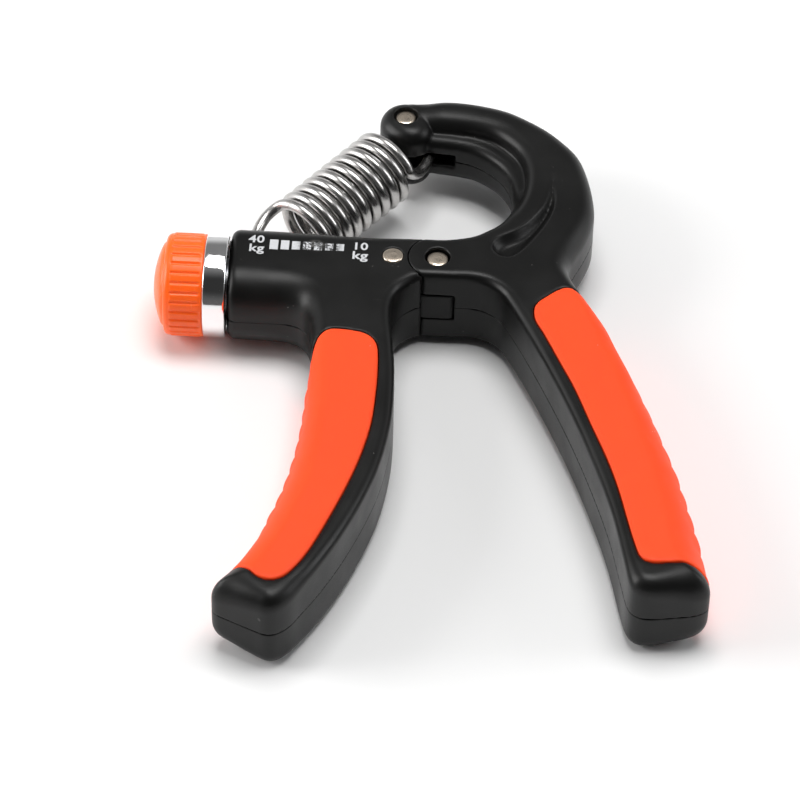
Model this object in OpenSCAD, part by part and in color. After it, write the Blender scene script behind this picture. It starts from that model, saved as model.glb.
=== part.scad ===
// Adjustable hand grip strengthener: two moulded handles on a pivot pin, and an
// extension spring from the curved arm of the right handle to a nut that a knob
// and screw move along the barrel of the left one. Millimetres. The origin is on
// the pivot axis in the plane of the shells' underside, +Z along the pivot axis,
// +X along the barrel away from the knob, +Y towards the curved arm. Parts are
// drawn about the parting plane, z = 0, and lift() raises them by half_t.

/* [Handles] */
// Half thickness of the moulded handles
half_t = 8.7; // [8.5:0.05:8.9]
// Half thickness over the soft grips
grip_t = 9.0; // [8.95:0.05:9.2]
// Thickness of the soft grip skin
grip_skin = 2.0; // [1.8:0.1:2.2]
// Number of finger ridges on each grip
ridges = 10; // [8:1:11]
// Height of the finger ridges
ridge_h = 0.8; // [0.4:0.1:1.0]
// Half height of the hollow inside the handles
hollow_t = 4.9; // [4.0:0.1:5.2]

/* [Hinge] */
// Radius of the pivot pin, the left pin and the arm pin
pin_r = 2.0; // [1.8:0.05:2.1]
// Radius of the outer knuckles of the right handle
knuckle_r = 5.6; // [5.4:0.05:5.7]
// Half height of the hinge tongue
tongue_t = 3.0; // [2.6:0.1:3.2]
// Running clearance between a pin and its bore
fit = 0.05; // [0.02:0.01:0.08]

/* [Knob and screw] */
// Radius of the knob over its ribs
knob_r = 10.15; // [9.8:0.05:10.3]
// Number of ribs round the knob
ribs = 36; // [24:1:40]
// Depth of the knob ribs
rib_d = 0.45; // [0.2:0.05:0.6]
// Radius of the chrome ring
ring_r = 10.0; // [9.8:0.05:10.1]
// Radius of the adjusting screw
screw_r = 2.5; // [2.2:0.1:2.6]
// Y position of the knob and screw axis
screw_y = -2; // [-2.1:0.1:-1.9]

/* [Spring] */
// Radius of the spring wire
wire_r = 1.05; // [0.9:0.05:1.1]
// Mean radius of the coil
coil_r = 6.64; // [6.5:0.02:6.7]
// Distance between neighbouring coils
coil_pitch = 2.58; // [2.5:0.01:2.6]
// Number of full coils
coils = 9; // [8:1:9]

/* [Hidden] */
$fn = 48;

black = [0.06, 0.06, 0.065];
orange = [1.0, 0.36, 0.16];
steel = [0.72, 0.71, 0.70];
brass = [0.8, 0.66, 0.36];
chrome = [0.85, 0.86, 0.88];
nut_grey = [0.45, 0.45, 0.46];
wire_grey = [0.78, 0.78, 0.79];

// pin centres on the parting plane
pivot = [0, 0];
arm_pin_at = [-8.2, 42.2];
hook_pin_at = [-33.6, 4.4];
left_pin_at = [-8.6, -0.2];

over = 1;                    // how far cuts run past a face
cut_t = half_t + over;       // half height of a cut through a handle
bore_r = pin_r + fit;
screw_bore_r = screw_r + fit;
tongue_r = knuckle_r + 0.25;
tongue_edge = 3.3;           // half width of the bar of the tongue
tongue_gap = 0.05;           // between the tongue and the left handle

// ---- curves ----
// Catmull-Rom point between p1 and p2
function spline(p0, p1, p2, p3, t) = 0.5 * ((2 * p1) + (p2 - p0) * t
  + (2 * p0 - 5 * p1 + 4 * p2 - p3) * t * t + (3 * p1 - p0 - 3 * p2 + p3) * t * t * t);
// smooth closed curve through the points, three steps a span
function smooth_closed(points) = let (count = len(points))
  [for (i = [0:count - 1]) for (k = [0:2])
    spline(points[(i + count - 1) % count], points[i],
      points[(i + 1) % count], points[(i + 2) % count], k / 3)];
// smooth open curve through the points
function smooth_open(points, steps = 3) =
  let (last = len(points) - 1,
    ext = concat([2 * points[0] - points[1]], points, [2 * points[last] - points[last - 1]]))
  concat([for (i = [0:last - 1]) for (k = [0:steps - 1])
    spline(ext[i], ext[i + 1], ext[i + 2], ext[i + 3], k / steps)], [points[last]]);
function unit(v) = v / norm(v);
function tangent(path, i) = unit(path[min(i + 1, len(path) - 1)] - path[max(i - 1, 0)]);
// unit vector to the left of a flat path
function left_of(path, i) = let (t = tangent(path, i)) [-t.y, t.x];
// band round a centre line of [x, y, half width], narrowed on each side by wall
function band(line, wall) =
  let (fine = smooth_open(line), path = [for (q = fine) [q.x, q.y]], last = len(path) - 1)
  concat(
    [for (i = [0:last]) path[i] + left_of(path, i) * (fine[i].z - wall)],
    [for (i = [last:-1:0]) path[i] - left_of(path, i) * (fine[i].z - wall)]);
function rect(x0, y0, x1, y1) = [[x0, y0], [x1, y0], [x1, y1], [x0, y1]];

// ---- shared solids ----
module lift() { translate([0, 0, half_t]) children(); }
module plate(points, z0, z1) { translate([0, 0, z0]) linear_extrude(z1 - z0) polygon(points); }
module post(at, r, z0, z1) { translate([at.x, at.y, z0]) cylinder(r = r, h = z1 - z0); }
// plate and post centred on the parting plane
module mid_plate(points, half) { plate(points, -half, half); }
module mid_post(at, r, half) { post(at, r, -half, half); }
// cuts of the given depth in both faces of a handle
module face_plates(points, depth) {
  for (z = [half_t - depth, -cut_t]) plate(points, z, z + depth + over);
}
module face_posts(at, r, depth) {
  for (z = [half_t - depth, -cut_t]) post(at, r, z, z + depth + over);
}
// z turned to +X on the screw axis, starting at x
module on_screw_axis(x = 0) { translate([x, screw_y, 0]) rotate([0, 90, 0]) children(); }
module rod_x(x0, x1, r) { on_screw_axis(x0) cylinder(r = r, h = x1 - x0); }
module sleeve_x(x0, x1, r, bore) {
  difference() {
    rod_x(x0, x1, r);
    rod_x(x0 - over, x1 + over, bore);
  }
}
// half of a body above (z0 = 0) or below (z0 = -20) the parting plane
module shell_half(corner, size, z0) {
  intersection() {
    children();
    translate([corner.x, corner.y, z0]) cube([size.x, size.y, 20]);
  }
}

// ---- self-tapping screws, driven from the underside ----
screw_neck_z = -4.2;         // where the head meets the shank
left_screw_at = [[-14.2, -12.6], [-14.6, -32], [-17.8, -60], [-28.4, -86]];
right_screw_at = [[17.2, 4.5], [21.3, 19], [8.2, 40.4], [28, -24], [37.6, -49], [45.6, -78.6]];

module screws(places) {
  for (at = places) {
    post(at, 2.4, -5.6, screw_neck_z);
    post(at, 1.2, screw_neck_z, 5.2);
  }
}
// head pocket open to the underside, then a blind hole for the shank
module screw_holes(places) {
  for (at = places) {
    post(at, 2.5, -cut_t, screw_neck_z + 0.05);
    post(at, 1.25, screw_neck_z, 5.6);
  }
}
module left_screws() lift() color(steel) screws(left_screw_at);
module right_screws() lift() color(steel) screws(right_screw_at);

// ---- soft grips ----
// each face edge runs from its +Y end round the inner side to its -Y end, and the
// outer edge runs back up to the start; [x, y]
left_face = [
  [-22.6, -27.5], [-22.2, -25], [-21.5, -22.9], [-20.2, -21.6], [-18.3, -21.0], [-14.3, -21.4],
  [-12.2, -22.2], [-10.8, -23.7], [-10.1, -26], [-9.8, -31], [-9.8, -37.1], [-10.2, -45],
  [-11.2, -51.4], [-12.6, -57.5], [-14.7, -64.5], [-17.3, -72], [-19.4, -77.4], [-21.2, -81.0],
  [-23.4, -84.1], [-25.6, -85.3], [-28, -84.8], [-30.2, -82.8], [-33.0, -80.6]];
left_outer = [
  [-33.0, -80.6], [-31.1, -76.8], [-28.4, -71], [-26.1, -64], [-24.4, -57], [-23.2, -50],
  [-22.5, -43], [-22.2, -36], [-22.3, -30], [-22.6, -27.5]];
right_face = [
  [29.0, -8.2], [27.4, -7.4], [25.6, -6.9], [23.6, -7.5], [21.2, -9.6], [19.6, -11.3],
  [18.9, -13.2], [19.3, -16.2], [21.1, -20], [24.1, -27], [27.1, -34.1], [30.2, -43],
  [32.9, -50.6], [35.2, -58.3], [37.2, -67], [38.4, -72], [39.6, -75.6], [41.6, -76.8],
  [44.8, -76.6], [48, -76.3], [52.2, -77.4]];
right_outer = [
  [52.2, -77.4], [50.8, -73], [48.7, -64], [46.0, -53], [42.7, -42.5], [39.0, -32.1],
  [35, -21.8], [32.1, -15], [29.0, -8.2]];
// corners that close the cut-out of each grip, beyond the handle's inner side
left_back = [[-20.6, -14], [6, -14], [6, -96], [-30.5, -96]];
right_back = [[26, 1], [2, 1], [2, -92], [49.5, -92]];

// inward is 1 when the inside lies to the left of the edge's direction, else -1
// outer edge with finger ridges that fade out at both ends
function ridged(edge, inward) = let (path = smooth_open(edge, 8), last = len(path) - 1)
  [for (i = [1:last - 1]) let (u = i / last, fade = min(1, min(u, 1 - u) * 10))
    path[i] + left_of(path, i) * inward * 0.5 * ridge_h * fade * (1 + cos(360 * ridges * u))];
function inset(edge, depth, inward) = let (path = smooth_open(edge))
  [for (i = [0:len(path) - 1]) path[i] + left_of(path, i) * inward * depth];

// skin over the top, the underside and the outer side of a handle
module skin(face, outer, inward, back) {
  difference() {
    mid_plate(concat(smooth_open(face, 2), ridged(outer, inward)), grip_t);
    mid_plate(concat(inset(outer, grip_skin, inward), back), half_t - grip_skin + 0.3);
  }
}
module left_skin() skin(left_face, left_outer, -1, left_back);
module right_skin() skin(right_face, right_outer, 1, right_back);
module left_grip() lift() color(orange) left_skin();
module right_grip() lift() color(orange) right_skin();

// ---- left handle ----
// outline, [x, y]
left_line = [
  [-38.4, 7.9], [-39.7, 6.6], [-40, 3], [-40, -2], [-40, -7], [-39.7, -10.3], [-38.2, -11.7],
  [-33, -11.8], [-28, -12.0], [-25.2, -13.2], [-23.7, -15.6], [-23, -19], [-22.7, -24],
  [-22.5, -30], [-22.5, -36], [-22.8, -43], [-23.5, -50], [-24.7, -57], [-26.5, -64],
  [-29, -71], [-32.1, -77.5], [-34.3, -81], [-36.1, -83.5], [-36.5, -85.2], [-35.6, -86.5],
  [-33, -87.8], [-29, -89.7], [-26.4, -90.7], [-24.3, -90.2], [-22.3, -88.4], [-20.4, -85.3],
  [-17.4, -80.0], [-13.9, -72.5], [-10.4, -63], [-8, -54], [-6.7, -44.2], [-6.5, -37],
  [-6.8, -29], [-7.5, -22], [-8.2, -16], [-8.1, -11.5], [-6.6, -8.2], [-3.6, -5.9], [0, -5.2],
  [4, -3], [4, 3], [0, 5.5], [-8, 5.7], [-15, 6.2], [-22, 7.0], [-30, 7.8]];
// centre line, [x, y, half width]
left_mid = [
  [-14.9, -20, 7.4], [-14.6, -32, 7.9], [-15.2, -46, 8.0],
  [-17.8, -60, 7.8], [-21.9, -71, 7.7], [-26.4, -80.5, 7.8]];
barrel_room_line = [[-37.55, -9], [-16.3, -9], [-16.3, 4.4], [-24, 5.2], [-37.55, 5.9]];
bearing_r = 4;
bush_r = 3.5;
seat_gap = 0.02;

// carriage room, the slot on its +Y side, and the seats of the bearing and the bush
module barrel_room() {
  mid_plate(barrel_room_line, 6.7);
  mid_plate(rect(-38.5, 3, -15.0, 9.5), 2.75);
  rod_x(-40.5, -37, bearing_r + seat_gap);
  rod_x(-17, -13.4, bush_r + seat_gap);
}
module left_body() {
  difference() {
    mid_plate(smooth_closed(left_line), half_t);
    // clear the hinge, and seat the bar of the tongue
    mid_post(pivot, tongue_r + tongue_gap, cut_t);
    mid_plate(rect(1, -8, 8, 8), cut_t);
    mid_plate(rect(-11.3, -tongue_edge - tongue_gap, 0, tongue_edge + tongue_gap),
      tongue_t + tongue_gap);
    barrel_room();
    // hollow, less the screw bosses
    difference() {
      mid_plate(band(left_mid, 4.4), hollow_t);
      for (at = left_screw_at) mid_post(at, 3.4, hollow_t + over);
    }
    mid_post(left_pin_at, bore_r, cut_t);
    screw_holes(left_screw_at);
    left_skin();
  }
}
module left_half(z0) shell_half([-60, -100], [80, 120], z0) left_body();
module left_shell_top() lift() color(black) left_half(0);
module left_shell_bottom() lift() color(black) left_half(-20);
module hinge_tongue() lift() color(black) difference() {
  union() {
    mid_post(pivot, tongue_r, tongue_t);
    mid_plate(rect(-11.2, -tongue_edge, 0, tongue_edge), tongue_t);
  }
  for (at = [pivot, left_pin_at]) mid_post(at, bore_r, 5);
}
module left_pin() lift() color(steel) mid_post(left_pin_at, pin_r, half_t);
module end_bearing() lift() color(brass) sleeve_x(-40, -37.6, bearing_r, screw_bore_r);
module inner_bush() lift() color(brass) sleeve_x(-16.2, -13.5, bush_r, screw_bore_r);

// ---- knob and screw ----
cap_rib_x = -50.9;           // end of the ribs away from the handle
cap_open_x = -44.75;         // open end of the cap
cap_base_r = knob_r - rib_d; // radius between the ribs
ring_x = -44.7;              // -X end of the ring and of the core's collar
// half profiles, [radius, x]
cap_outside = [
  [0, -54.7], [2.6, -54.5], [4.8, -54.1], [6.6, -53.5], [7.9, -52.8], [8.5, -52.3], [9.0, -52.2],
  [9.5, -51.9], [cap_base_r, -51.2], [cap_base_r, cap_open_x], [0, cap_open_x]];
cap_inside = [[0, -52.6], [5, -52.2], [7.4, -51.2], [8.0, -50.5], [8.0, -44], [0, -44]];
// four points a rib: two on its crest, two between ribs
rib_line = [for (i = [0:ribs * 4 - 1])
  let (angle = 360 * i / (ribs * 4), r = (i % 4 < 2) ? knob_r : cap_base_r)
  r * [cos(angle), sin(angle)]];

module turned(profile) { on_screw_axis() rotate_extrude() polygon(profile); }
module knob_cap() lift() color(orange) difference() {
  union() {
    turned(cap_outside);
    on_screw_axis(cap_rib_x) linear_extrude(cap_open_x - cap_rib_x) polygon(rib_line);
  }
  turned(cap_inside);
}
module knob_core() lift() color(black) difference() {
  union() {
    rod_x(-50.2, -44.6, 7.9);
    rod_x(ring_x, -40.7, 8.85);
  }
  rod_x(-51, -40, screw_bore_r);
  rod_x(-51, -46.9, 4.75, $fn = 6);
}
module chrome_ring() lift() color(chrome) sleeve_x(ring_x, -40.3, ring_r, 8.9);
module thrust_washer() lift() color(steel) sleeve_x(-40.65, -40.05, 5.5, screw_bore_r);
// plain rod with a hexagonal head
module adjusting_screw() lift() color(steel) {
  rod_x(-47, -13.6, screw_r);
  rod_x(-50.1, -46.95, 4.65, $fn = 6);
}
module retaining_clip() lift() color(steel) sleeve_x(-37.5, -36.9, 3.9, screw_r + 0.02);

// ---- carriage ----
nut_half_l = 3;              // half length of the nut along the screw
lug_half_l = 2.7;            // half length of the lug on its +Y side
lug_t = 2.5;                 // half height of the lug
lug_slot_t = 1.3;            // half height of the slot for the spring hook

module carriage_nut() lift() color(nut_grey) difference() {
  nut_x = hook_pin_at.x;
  union() {
    rod_x(nut_x - nut_half_l, nut_x + nut_half_l, 5);
    translate([nut_x - lug_half_l, 0.4, -lug_t]) cube([2 * lug_half_l, 6.5, 2 * lug_t]);
  }
  rod_x(nut_x - 4.5, nut_x + 4.5, screw_bore_r);
  translate([nut_x - 4.5, 0.78, -lug_slot_t]) cube([9, 8, 2 * lug_slot_t]);
  mid_post(hook_pin_at, 1.95, 4);
}
module hook_pin() lift() color(steel) mid_post(hook_pin_at, 1.25, lug_t);

// ---- spring ----
wire_sides = 8;
coil_top = [-11.15, 33.93, 1.5];         // on the coil axis, at the arm end
coil_axis = [-0.6667, -0.7327, -0.1366]; // from the arm towards the carriage
coil_side = [0.7396, -0.6730, 0];        // angle 0 round the coil
coil_up = cross(coil_axis, coil_side);   // angle 90
coil_end = 360 * coils + 110;            // angle where the coil stops
eye = [-8.3, 40.25, 0];                  // centre of the eye round the arm pin
eye_r = 5.2;
hook_r = 2.42;                           // wire centre round the hook pin

function coil_at(angle) = coil_top + coil_axis * (coil_pitch * angle / 360)
  + coil_r * (coil_side * cos(angle) + coil_up * sin(angle));
function circle_at(centre, r, angle) = centre + r * [cos(angle), sin(angle), 0];

eye_path = concat([for (angle = [140:-14:0]) circle_at(eye, eye_r, angle)],
  smooth_open([circle_at(eye, eye_r, 0), [-3.3, 37.6, 0], [-4.1, 34.8, 0.1], [-5.4, 32.0, 0.8],
    coil_at(16)], 4));
coil_path = [for (angle = [30:20:coil_end]) coil_at(angle)];
foot = coil_at(coil_end);
leg_path = smooth_open([foot + [-0.27, 0.27, -0.15], foot + [-1.7, 1.0, -0.9],
  [-32.7, 18.1, 2.4], [-34.5, 16.5, 1.3], [-35.8, 13.6, 0.4], [-36.3, 10.2, 0]], 4);
hook_path = concat(smooth_open([[-36.33, 9.9, 0], [-36.35, 7.4, 0], [-36.05, 5.2, 0]], 4),
  [for (angle = [190:20:390]) circle_at([hook_pin_at.x, hook_pin_at.y, 0], hook_r, angle)]);

// unit part of v square to the direction t
function square_to(v, t) = unit(v - (v * t) * t);
// normals carried along a path without twist
function carry(path, start) = [for (i = 0, n = square_to(start, tangent(path, 0));
  i < len(path);
  i = i + 1, n = i < len(path) ? square_to(n, tangent(path, i)) : n) n];
// round wire along a path: a ring of points at each station, joined by triangles
module wire(path) {
  normals = carry(path, coil_up);
  last = len(path) - 1;
  points = [for (i = [0:last]) let (across = cross(tangent(path, i), normals[i]))
    for (k = [0:wire_sides - 1]) let (angle = 360 * k / wire_sides)
      path[i] + wire_r * (normals[i] * cos(angle) + across * sin(angle))];
  walls = [for (i = [0:last - 1]) for (k = [0:wire_sides - 1])
    let (here = i * wire_sides + k, next = i * wire_sides + (k + 1) % wire_sides)
    each [[here, here + wire_sides, next], [next, here + wire_sides, next + wire_sides]]];
  polyhedron(points, concat([[for (k = [0:wire_sides - 1]) k]], walls,
    [[for (k = [wire_sides - 1:-1:0]) last * wire_sides + k]]));
}
module spring_coil() lift() color(wire_grey) wire(concat(eye_path, coil_path));
module spring_leg() lift() color(wire_grey) wire(leg_path);
module spring_hook() lift() color(wire_grey) wire(hook_path);

// ---- right handle ----
// outline, [x, y]
right_line = [
  [0, 5.5], [3.1, 6.0], [6.9, 7.3], [10.2, 9.9], [12.6, 13], [13.9, 17.5], [14, 22.5],
  [13.5, 26.7], [12.2, 29.9], [10.1, 32.6], [7, 35.1], [4, 36.4], [0, 37.1], [-4, 37.4],
  [-4, 47.6], [1.4, 47.8], [7.5, 46.7], [13.6, 44.4], [19.8, 40.2], [24.0, 36.0], [27.0, 31.6],
  [28.9, 25.1], [29.9, 18.5], [29.6, 14], [28.3, 9.6], [26.8, 5.6], [25.8, 2.4], [25.6, -0.6],
  [26.7, -4.2], [29.1, -8.4], [32.3, -15], [35.2, -21.8], [39.3, -32.1], [43.0, -42.5],
  [46.3, -53], [49, -64], [51.1, -73], [52.2, -77], [52.2, -79.6], [50, -81.2], [46, -82.0],
  [42, -82.6], [39.5, -82.2], [37.8, -80.3], [36.6, -75.2], [34.4, -64.5], [31.6, -54.5],
  [27.8, -43], [23.4, -31.5], [18.4, -19.8], [14.2, -11], [12.3, -8], [9.6, -5.9],
  [6.4, -5.1], [3, -5.1], [0, -5.1], [-3, -2], [-3, 2]];
// centre lines of the handle and the arm, [x, y, half width]
right_mid = [
  [23.6, -14, 8.0], [28, -24, 7.7], [33.2, -37, 7.5],
  [37.6, -49, 7.4], [41.4, -61, 7.3], [44.2, -74, 7.4]];
arm_mid = [
  [18.5, 8, 7], [21.2, 16, 7.3], [21.1, 23.3, 7.1], [18.4, 31, 6.6],
  [13.2, 37.4, 5.9], [7.2, 40.9, 5.7], [1, 42.2, 5.3]];
// recess in both faces at the root of the arm
crescent = [
  [21.4, 24.8], [22.1, 21], [22.0, 16.5], [20.8, 12], [18.5, 7], [15.9, 2.9], [13.8, 1.0],
  [11.6, 1.5], [10.3, 3.8], [11.8, 6.3], [15.2, 8.9], [18.6, 13.2], [20.7, 18]];
arm_neck = [[-8.2, 37.5], [-3, 37.2], [-3, 47.3], [-8.2, 47.1]];
arm_slot = [[-20, 30], [3, 30], [3, 38.5], [0, 41.5], [-20, 41.5]];
arm_end_t = 7.0;             // half height of the rounded end of the arm
slot_t = 1.55;               // half height of the spring slot in the arm
pin_recess = 0.7;            // depth of the pivot pin's ends below the faces

module right_body() {
  difference() {
    union() {
      mid_plate(smooth_closed(right_line), half_t);
      mid_post(pivot, knuckle_r, half_t);
      mid_post(arm_pin_at, 4.9, arm_end_t);
      mid_plate(arm_neck, arm_end_t);
    }
    // leave only the round knuckle on the left of the pivot
    difference() {
      mid_plate(rect(-8, -9, 0.2, 9), cut_t);
      mid_post(pivot, knuckle_r, cut_t + over);
    }
    mid_post(pivot, tongue_r + 0.25, tongue_t + 0.1);
    // thinner round end of the arm
    face_plates(rect(-20, 30, -0.5, 50), half_t - arm_end_t);
    // slot for the eye of the spring
    mid_post(eye, eye_r + wire_r + 0.35, slot_t);
    mid_plate(arm_slot, slot_t);
    // hollows, less the screw bosses
    difference() {
      union() {
        mid_plate(band(right_mid, 4.2), hollow_t);
        mid_plate(band(arm_mid, 3.0), 5.6);
      }
      for (at = right_screw_at) mid_post(at, 3.3, half_t);
    }
    face_plates(smooth_closed(crescent), 1.4);
    for (at = [pivot, arm_pin_at]) mid_post(at, bore_r, cut_t);
    face_posts(pivot, pin_r + 0.55, pin_recess);
    screw_holes(right_screw_at);
    right_skin();
  }
}
module right_half(z0) shell_half([-20, -100], [90, 160], z0) right_body();
module right_shell_top() lift() color(black) right_half(0);
module right_shell_bottom() lift() color(black) right_half(-20);
module pivot_pin() lift() color(steel) mid_post(pivot, pin_r, half_t - pin_recess);
module arm_pin() lift() color(steel) mid_post(arm_pin_at, pin_r, arm_end_t - 0.3);

left_shell_top();
left_shell_bottom();
hinge_tongue();
left_pin();
left_grip();
left_screws();
end_bearing();
inner_bush();
knob_cap();
knob_core();
chrome_ring();
thrust_washer();
adjusting_screw();
retaining_clip();
carriage_nut();
hook_pin();
spring_coil();
spring_leg();
spring_hook();
arm_pin();
right_shell_top();
right_shell_bottom();
pivot_pin();
right_grip();
right_screws();
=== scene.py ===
"""Adjustable spring hand grip with a printed 10-40 kg scale.

Two handles hinge on an upright (z) pin at x = y = 0 and reach towards -y. The arm of the
right handle curves round at +y and holds the hook of a coil spring. The knob that moves the
spring's other end sticks out at -x. Shapes are worked out in millimetres about the parting
plane (z = 0) and lifted to the CAD frame, in metres, when their mesh is made.
"""
import math
from functools import reduce

import bmesh
import bpy
import numpy as np
from mathutils import Matrix, Vector


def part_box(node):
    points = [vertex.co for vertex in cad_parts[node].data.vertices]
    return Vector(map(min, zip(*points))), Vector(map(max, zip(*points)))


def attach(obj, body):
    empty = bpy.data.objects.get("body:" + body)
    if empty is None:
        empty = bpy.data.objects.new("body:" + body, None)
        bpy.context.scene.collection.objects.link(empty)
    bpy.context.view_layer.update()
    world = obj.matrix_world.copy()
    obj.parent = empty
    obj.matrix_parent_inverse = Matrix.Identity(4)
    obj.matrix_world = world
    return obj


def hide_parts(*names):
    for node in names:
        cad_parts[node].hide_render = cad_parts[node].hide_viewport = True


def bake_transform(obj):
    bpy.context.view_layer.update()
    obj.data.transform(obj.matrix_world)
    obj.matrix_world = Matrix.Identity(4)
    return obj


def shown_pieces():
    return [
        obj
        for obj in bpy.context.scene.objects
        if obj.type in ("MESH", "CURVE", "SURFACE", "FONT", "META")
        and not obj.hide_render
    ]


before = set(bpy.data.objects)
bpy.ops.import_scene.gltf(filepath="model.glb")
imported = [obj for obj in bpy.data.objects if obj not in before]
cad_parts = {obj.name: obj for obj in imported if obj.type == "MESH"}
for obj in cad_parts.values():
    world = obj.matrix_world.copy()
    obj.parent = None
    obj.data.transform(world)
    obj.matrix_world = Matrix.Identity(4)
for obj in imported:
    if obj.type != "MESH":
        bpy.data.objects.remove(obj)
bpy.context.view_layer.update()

MM = 0.001  # one millimetre in metres


# ------------------------------------------------------------------ places from the CAD
def plan_centre(node):
    lo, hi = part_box(node)
    return np.array([(lo[0] + hi[0]) * 500.0, (lo[1] + hi[1]) * 500.0])


_lo, _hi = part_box("left_pin")
LIFT = (_lo[2] + _hi[2]) * 500.0  # height of the parting plane
HALF = (_hi[2] - _lo[2]) * 500.0  # half the thickness of the handles
LEFT_PIN = plan_centre("left_pin")
ARM_PIN = plan_centre("arm_pin")
HOOK_PIN = plan_centre("hook_pin")
KNOB_Y = plan_centre("chrome_ring")[1]  # the knob's axis runs along x
PIVOT = (0, 0)
EYE = np.array([-8.3, 40.25, 0.0])  # middle of the spring's hook


# ------------------------------------------------------------------ curves and fields
# x and y come as (nx, ny, 1) arrays and z as (1, 1, nz); fields are negative inside.
def spline(points, n=6, closed=True):
    """Catmull-Rom curve with n steps to each span."""
    p = np.asarray(points, float)
    if closed:
        a, b, c, d = np.roll(p, 1, 0), p, np.roll(p, -1, 0), np.roll(p, -2, 0)
    else:
        q = np.vstack([2 * p[0] - p[1], p, 2 * p[-1] - p[-2]])
        a, b, c, d = q[:-3], q[1:-2], q[2:-1], q[3:]
    t = (np.arange(n) / n)[:, None, None]
    curve = 0.5 * (2 * b + (c - a) * t + (2 * a - 5 * b + 4 * c - d) * t ** 2
                   + (3 * b - a - 3 * c + d) * t ** 3)
    curve = curve.transpose(1, 0, 2).reshape(-1, p.shape[1])
    return curve if closed else np.vstack([curve, p[-1]])


def poly_sdf(poly, x, y):
    """Signed distance to a closed polygon."""
    best = np.full(x.shape, 1e9, np.float32)
    inside = np.zeros(x.shape, bool)
    for (ax, ay), (bx, by) in zip(poly, np.roll(poly, -1, 0)):
        ex, ey = bx - ax, by - ay
        length2 = ex * ex + ey * ey
        if length2 < 1e-12:
            continue
        wx, wy = x - ax, y - ay
        t = np.clip((wx * ex + wy * ey) / length2, 0, 1)
        dx, dy = wx - ex * t, wy - ey * t
        best = np.minimum(best, dx * dx + dy * dy)
        if ay != by:
            inside ^= ((ay > y) != (by > y)) & (x < ex * (y - ay) / ey + ax)
    dist = np.sqrt(best)
    return np.where(inside, -dist, dist)


def along(path, x, y):
    """Distance to an open path, and arc length of its nearest point."""
    best = np.full(x.shape, 1e9)
    arc = np.zeros(x.shape)
    start = 0.0
    for (ax, ay), (bx, by) in zip(path[:-1], path[1:]):
        ex, ey = bx - ax, by - ay
        length2 = ex * ex + ey * ey
        if length2 < 1e-12:
            continue
        wx, wy = x - ax, y - ay
        t = np.clip((wx * ex + wy * ey) / length2, 0, 1)
        dist2 = (wx - ex * t) ** 2 + (wy - ey * t) ** 2
        nearer = dist2 < best
        best = np.where(nearer, dist2, best)
        arc = np.where(nearer, start + t * math.sqrt(length2), arc)
        start += math.sqrt(length2)
    return np.sqrt(best), arc


def scattered(points, x, y, sigma):
    """Smooth blend of values given at points [x, y, value]."""
    total = np.zeros(x.shape)
    weights = np.full(x.shape, 1e-12)
    for px, py, value in points:
        dist2 = (x - px) ** 2 + (y - py) ** 2
        weight = np.exp(-dist2 / (2 * sigma * sigma)) + 1e-4 / (1 + dist2)
        total += weight * value
        weights += weight
    return total / weights


def smooth_step(a, b, x):
    t = np.clip((x - a) / (b - a), 0, 1)
    return t * t * (3 - 2 * t)


def distance(x, y, centre):
    return np.hypot(x - centre[0], y - centre[1])


def span(x, centre, half):
    """The band within half of centre."""
    return np.abs(x - centre) - half


def meet(*fields):
    """What all the fields share."""
    return reduce(np.maximum, fields)


def round_meet(a, b, r):
    return np.minimum(np.maximum(a, b), -r) + np.hypot(np.maximum(a + r, 0), np.maximum(b + r, 0))


def cut(body, void):
    return np.maximum(body, -void)


def round_cut(body, void, r):
    return round_meet(body, -void, r)


def extrude(plan, height, r):
    """Plan field given a thickness, with edges rounded by r."""
    a, b = plan + r, height + r
    return np.minimum(np.maximum(a, b), 0) + np.hypot(np.maximum(a, 0), np.maximum(b, 0)) - r


def smooth_join(a, b, k):
    h = np.clip(0.5 + 0.5 * (b - a) / k, 0, 1)
    return b + (a - b) * h - k * h * (1 - h)


# ------------------------------------------------------------------ meshing
CORNERS = [(i, j, k) for k in (0, 1) for j in (0, 1) for i in (0, 1)]


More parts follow.
